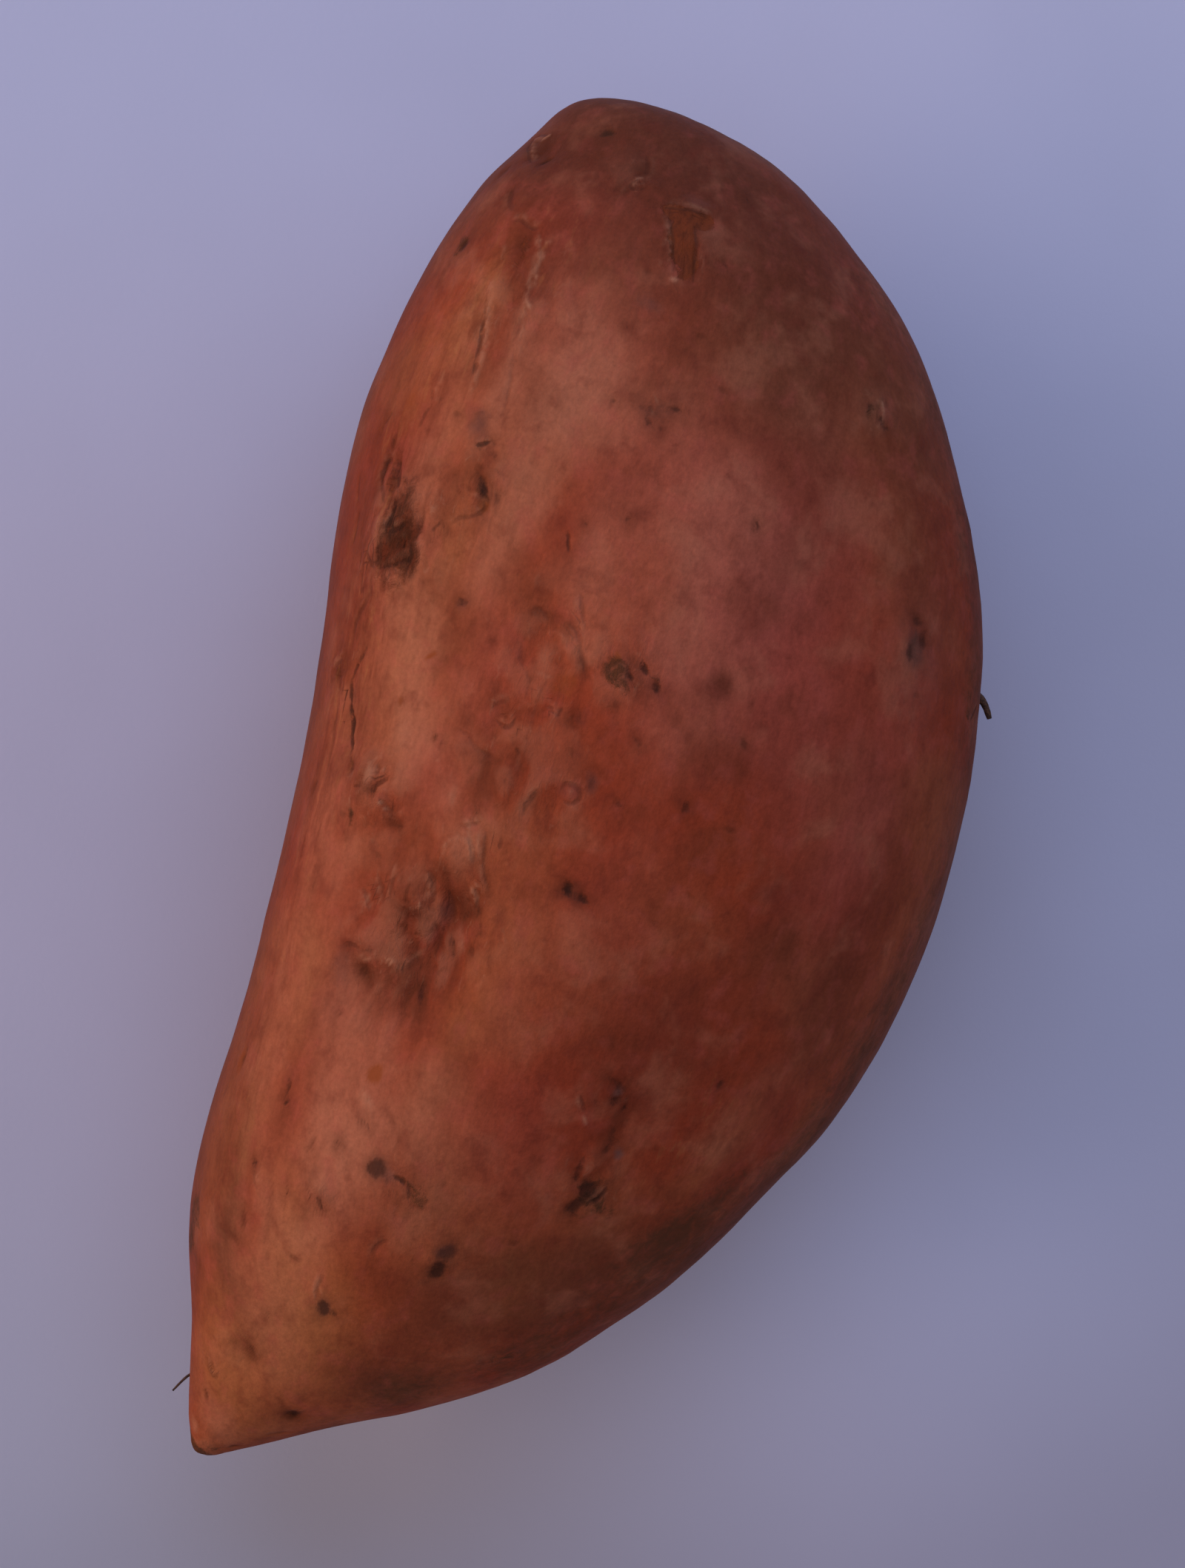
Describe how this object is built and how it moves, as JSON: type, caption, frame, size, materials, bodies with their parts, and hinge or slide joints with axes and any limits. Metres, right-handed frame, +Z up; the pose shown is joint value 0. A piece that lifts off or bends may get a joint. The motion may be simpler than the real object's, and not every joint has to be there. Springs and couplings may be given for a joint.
{
  "type": "sweet potato",
  "caption": "Whole raw sweet potato with copper-red skin, lying on its side on a small flat spot: blunt crown end, pointed tail, one straight and one bulging flank.",
  "frame": {"origin": "on the surface the root lies on, under the middle of its box", "axes": "+X along the root towards its blunt crown end, +Y towards its straighter flank, +Z up"},
  "size_m": [0.162, 0.0796, 0.067],
  "materials": {
    "skin": null
  },
  "bodies": {
    "root": {"sweet_potato": "skin"}
  },
  "joints": []
}
